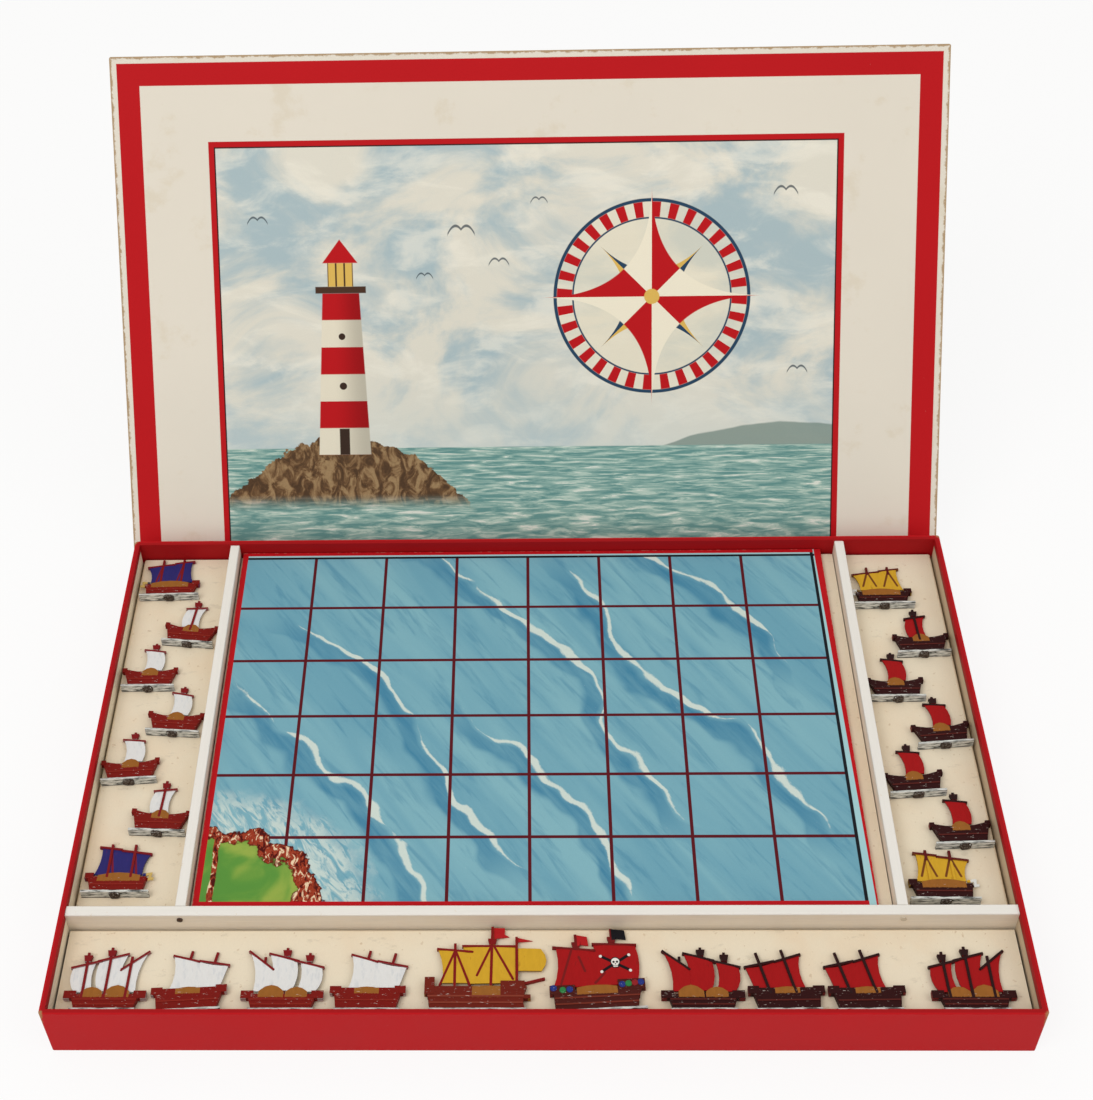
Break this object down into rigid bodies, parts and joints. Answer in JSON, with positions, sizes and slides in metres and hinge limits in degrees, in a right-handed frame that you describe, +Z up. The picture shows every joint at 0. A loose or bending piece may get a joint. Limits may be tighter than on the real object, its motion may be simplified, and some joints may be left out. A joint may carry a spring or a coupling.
{
  "type": "board game case",
  "caption": "Low paper-covered tray with wooden partitions, a lift-out gridded chart board, flat cast ships on folded cards and a lift-off lid leaning behind.",
  "frame": {"origin": "centre of the underside of the tray", "axes": "+Z up, +X to the right, +Y to the back, where the lid leans"},
  "size_m": [0.486, 0.4856, 0.2703],
  "materials": {
    "greyboard": "matt raw board",
    "red_paper": "satin red covering paper",
    "edging_paper": "satin red edging paper",
    "white_wood": "thin white paint, rubbed",
    "nail_steel": "dull, stained",
    "cream_card": "matt cream card",
    "chart_print": "printed, satin",
    "lid_paper": "matt cream paper, rubbed",
    "lid_sheet": "printed, satin",
    "tin_white": "brushed enamel",
    "tin_blue": "brushed enamel",
    "tin_yellow": "brushed enamel",
    "tin_red": "brushed enamel"
  },
  "bodies": {
    "case": {"tray_floor": "greyboard", "tray_front_wall": "greyboard", "tray_back_wall": "greyboard", "tray_left_wall": "greyboard", "tray_right_wall": "greyboard", "tray_wrap": "red_paper", "left_partition": "white_wood", "right_partition": "white_wood", "front_partition": "white_wood", "partition_nails": "nail_steel", "left_inlay": "cream_card", "right_inlay": "cream_card", "front_inlay": "cream_card", "board_platform": "cream_card"},
    "lid": {"lid_top": "greyboard", "lid_front_wall": "greyboard", "lid_back_wall": "greyboard", "lid_left_wall": "greyboard", "lid_right_wall": "greyboard", "lid_wrap": "lid_paper", "lid_print": "lid_sheet"},
    "board": {"board_core": "greyboard", "board_binding": "edging_paper", "board_print": "chart_print"},
    "blue_trader_2": {"blue_trader_2": "tin_blue"},
    "white_cog_5": {"white_cog_5": "tin_white"},
    "white_cog_4": {"white_cog_4": "tin_white"},
    "white_cog_3": {"white_cog_3": "tin_white"},
    "white_cog_2": {"white_cog_2": "tin_white"},
    "white_cog_1": {"white_cog_1": "tin_white"},
    "blue_trader_1": {"blue_trader_1": "tin_blue"},
    "yellow_trader_2": {"yellow_trader_2": "tin_yellow"},
    "red_cog_5": {"red_cog_5": "tin_red"},
    "red_cog_4": {"red_cog_4": "tin_red"},
    "red_cog_3": {"red_cog_3": "tin_red"},
    "red_cog_2": {"red_cog_2": "tin_red"},
    "red_cog_1": {"red_cog_1": "tin_red"},
    "yellow_trader_1": {"yellow_trader_1": "tin_yellow"},
    "white_carrack_1": {"white_carrack_1": "tin_white"},
    "white_caravel_1": {"white_caravel_1": "tin_white"},
    "white_carrack_2": {"white_carrack_2": "tin_white"},
    "white_caravel_2": {"white_caravel_2": "tin_white"},
    "yellow_flagship": {"yellow_flagship": "tin_yellow"},
    "red_flagship": {"red_flagship": "tin_red"},
    "red_carrack_1": {"red_carrack_1": "tin_red"},
    "red_caravel_1": {"red_caravel_1": "tin_red"},
    "red_caravel_2": {"red_caravel_2": "tin_red"},
    "red_carrack_2": {"red_carrack_2": "tin_red"}
  },
  "joints": [
    {"name": "lid_lift", "type": "slide", "parent": "case", "child": "lid", "axis": [0, 0, 1], "range_m": [0, 0.12]},
    {"name": "board_lift", "type": "slide", "parent": "case", "child": "board", "axis": [0, 0, 1], "range_m": [0, 0.05]},
    {"name": "blue_trader_2_lift", "type": "slide", "parent": "case", "child": "blue_trader_2", "axis": [0, 0, 1], "range_m": [0, 0.04]},
    {"name": "white_cog_5_lift", "type": "slide", "parent": "case", "child": "white_cog_5", "axis": [0, 0, 1], "range_m": [0, 0.04]},
    {"name": "white_cog_4_lift", "type": "slide", "parent": "case", "child": "white_cog_4", "axis": [0, 0, 1], "range_m": [0, 0.04]},
    {"name": "white_cog_3_lift", "type": "slide", "parent": "case", "child": "white_cog_3", "axis": [0, 0, 1], "range_m": [0, 0.04]},
    {"name": "white_cog_2_lift", "type": "slide", "parent": "case", "child": "white_cog_2", "axis": [0, 0, 1], "range_m": [0, 0.04]},
    {"name": "white_cog_1_lift", "type": "slide", "parent": "case", "child": "white_cog_1", "axis": [0, 0, 1], "range_m": [0, 0.04]},
    {"name": "blue_trader_1_lift", "type": "slide", "parent": "case", "child": "blue_trader_1", "axis": [0, 0, 1], "range_m": [0, 0.04]},
    {"name": "yellow_trader_2_lift", "type": "slide", "parent": "case", "child": "yellow_trader_2", "axis": [0, 0, 1], "range_m": [0, 0.04]},
    {"name": "red_cog_5_lift", "type": "slide", "parent": "case", "child": "red_cog_5", "axis": [0, 0, 1], "range_m": [0, 0.04]},
    {"name": "red_cog_4_lift", "type": "slide", "parent": "case", "child": "red_cog_4", "axis": [0, 0, 1], "range_m": [0, 0.04]},
    {"name": "red_cog_3_lift", "type": "slide", "parent": "case", "child": "red_cog_3", "axis": [0, 0, 1], "range_m": [0, 0.04]},
    {"name": "red_cog_2_lift", "type": "slide", "parent": "case", "child": "red_cog_2", "axis": [0, 0, 1], "range_m": [0, 0.04]},
    {"name": "red_cog_1_lift", "type": "slide", "parent": "case", "child": "red_cog_1", "axis": [0, 0, 1], "range_m": [0, 0.04]},
    {"name": "yellow_trader_1_lift", "type": "slide", "parent": "case", "child": "yellow_trader_1", "axis": [0, 0, 1], "range_m": [0, 0.04]},
    {"name": "white_carrack_1_lift", "type": "slide", "parent": "case", "child": "white_carrack_1", "axis": [0, 0, 1], "range_m": [0, 0.04]},
    {"name": "white_caravel_1_lift", "type": "slide", "parent": "case", "child": "white_caravel_1", "axis": [0, 0, 1], "range_m": [0, 0.04]},
    {"name": "white_carrack_2_lift", "type": "slide", "parent": "case", "child": "white_carrack_2", "axis": [0, 0, 1], "range_m": [0, 0.04]},
    {"name": "white_caravel_2_lift", "type": "slide", "parent": "case", "child": "white_caravel_2", "axis": [0, 0, 1], "range_m": [0, 0.04]},
    {"name": "yellow_flagship_lift", "type": "slide", "parent": "case", "child": "yellow_flagship", "axis": [0, 0, 1], "range_m": [0, 0.04]},
    {"name": "red_flagship_lift", "type": "slide", "parent": "case", "child": "red_flagship", "axis": [0, 0, 1], "range_m": [0, 0.04]},
    {"name": "red_carrack_1_lift", "type": "slide", "parent": "case", "child": "red_carrack_1", "axis": [0, 0, 1], "range_m": [0, 0.04]},
    {"name": "red_caravel_1_lift", "type": "slide", "parent": "case", "child": "red_caravel_1", "axis": [0, 0, 1], "range_m": [0, 0.04]},
    {"name": "red_caravel_2_lift", "type": "slide", "parent": "case", "child": "red_caravel_2", "axis": [0, 0, 1], "range_m": [0, 0.04]},
    {"name": "red_carrack_2_lift", "type": "slide", "parent": "case", "child": "red_carrack_2", "axis": [0, 0, 1], "range_m": [0, 0.04]}
  ]
}
